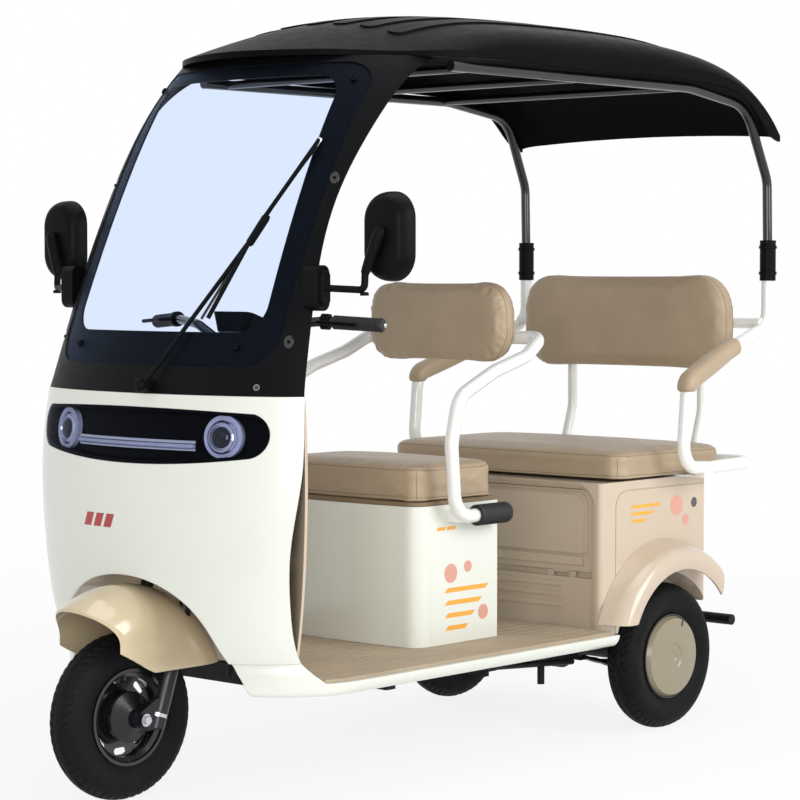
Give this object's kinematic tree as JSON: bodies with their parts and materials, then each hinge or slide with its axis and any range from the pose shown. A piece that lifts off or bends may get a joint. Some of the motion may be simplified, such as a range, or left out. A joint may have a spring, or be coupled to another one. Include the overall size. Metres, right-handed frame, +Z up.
{
  "type": "electric tricycle",
  "caption": "Three-wheeled electric passenger tricycle with a roof, a windshield, two bench seats, handrails and a rear storage box.",
  "frame": {"origin": "on the ground, under the middle of the vehicle's outline", "axes": "-Y is forward, +X is the vehicle's left side, +Z is up"},
  "size_m": [1.182, 2.1144, 1.785],
  "materials": {
    "seat": "satin",
    "battery_case": "matte",
    "black_plastic": "satin",
    "black_tube": "satin",
    "motor_metal": "matte",
    "mat": "matte",
    "fender_paint": "gloss",
    "fork_metal": "satin",
    "white_tube": "gloss",
    "rim_paint": "satin",
    "shell_paint": "gloss",
    "tyre": "matte",
    "grip": "matte",
    "lamp_glass": "gloss",
    "hubcap_paint": "satin",
    "lamp_ring": "gloss",
    "inner_panel": "satin",
    "body_paint": "gloss",
    "roof_plastic": "satin",
    "tail_red": "gloss",
    "clear_glass": "gloss"
  },
  "bodies": {
    "chassis": {"armrests": "seat", "battery": "battery_case", "canopy_tubes": "black_tube", "drive_motor": "motor_metal", "floor_mat": "mat", "frame": "black_tube", "front_backrest": "seat", "front_frame": "black_plastic", "front_handrail": "white_tube", "front_seat_box": "shell_paint", "front_shell": "shell_paint", "headlamp_housing": "black_plastic", "headlamp_lens": "lamp_glass", "lamp_rings": "lamp_ring", "leg_shield": "inner_panel", "mirrors": "black_plastic", "post_sleeves": "black_plastic", "rear_axle": "black_tube", "rear_backrest": "seat", "rear_body": "body_paint", "rear_fenders": "body_paint", "rear_handrail": "white_tube", "rear_seat_cushion": "seat", "roof_canopy": "roof_plastic", "running_board": "shell_paint", "side_grips": "grip", "tail_lamps": "tail_red", "windshield": "clear_glass", "wiper": "black_plastic"},
    "steering": {"front_fork": "fork_metal", "front_fender": "fender_paint", "handlebar": "black_tube", "handlebar_grips": "grip", "bar_controls": "black_plastic"},
    "front_wheel": {"front_tyre": "tyre", "front_rim": "rim_paint"},
    "rear_wheel_left": {"rear_tyre_left": "tyre", "rear_rim_left": "rim_paint", "hubcap_left": "hubcap_paint"},
    "rear_wheel_right": {"rear_tyre_right": "tyre", "rear_rim_right": "rim_paint", "hubcap_right": "hubcap_paint"},
    "front_seat": {"front_seat_base": "black_plastic", "front_seat_cushion": "seat"},
    "rear_door": {"storage_door": "body_paint"}
  },
  "joints": [
    {"name": "steer", "type": "hinge", "parent": "chassis", "child": "steering", "pos_m": [0, -0.793, 0.185], "axis": [0, 0.3256, 0.9455], "range_deg": [-35, 35]},
    {"name": "front_wheel_spin", "type": "hinge", "parent": "steering", "child": "front_wheel", "pos_m": [0, -0.868, 0.185], "axis": [1, 0, 0], "continuous": true},
    {"name": "rear_wheel_left_spin", "type": "hinge", "parent": "chassis", "child": "rear_wheel_left", "pos_m": [0.351, 0.647, 0.185], "axis": [1, 0, 0], "continuous": true},
    {"name": "rear_wheel_right_spin", "type": "hinge", "parent": "chassis", "child": "rear_wheel_right", "pos_m": [-0.351, 0.647, 0.185], "axis": [1, 0, 0], "continuous": true},
    {"name": "front_seat_lid", "type": "hinge", "parent": "chassis", "child": "front_seat", "pos_m": [0, 0.128, 0.608], "axis": [-1, 0, 0], "range_deg": [0, 60]},
    {"name": "rear_door_hinge", "type": "hinge", "parent": "chassis", "child": "rear_door", "pos_m": [0, 0.426, 0.408], "axis": [1, 0, 0], "range_deg": [0, 90]}
  ]
}
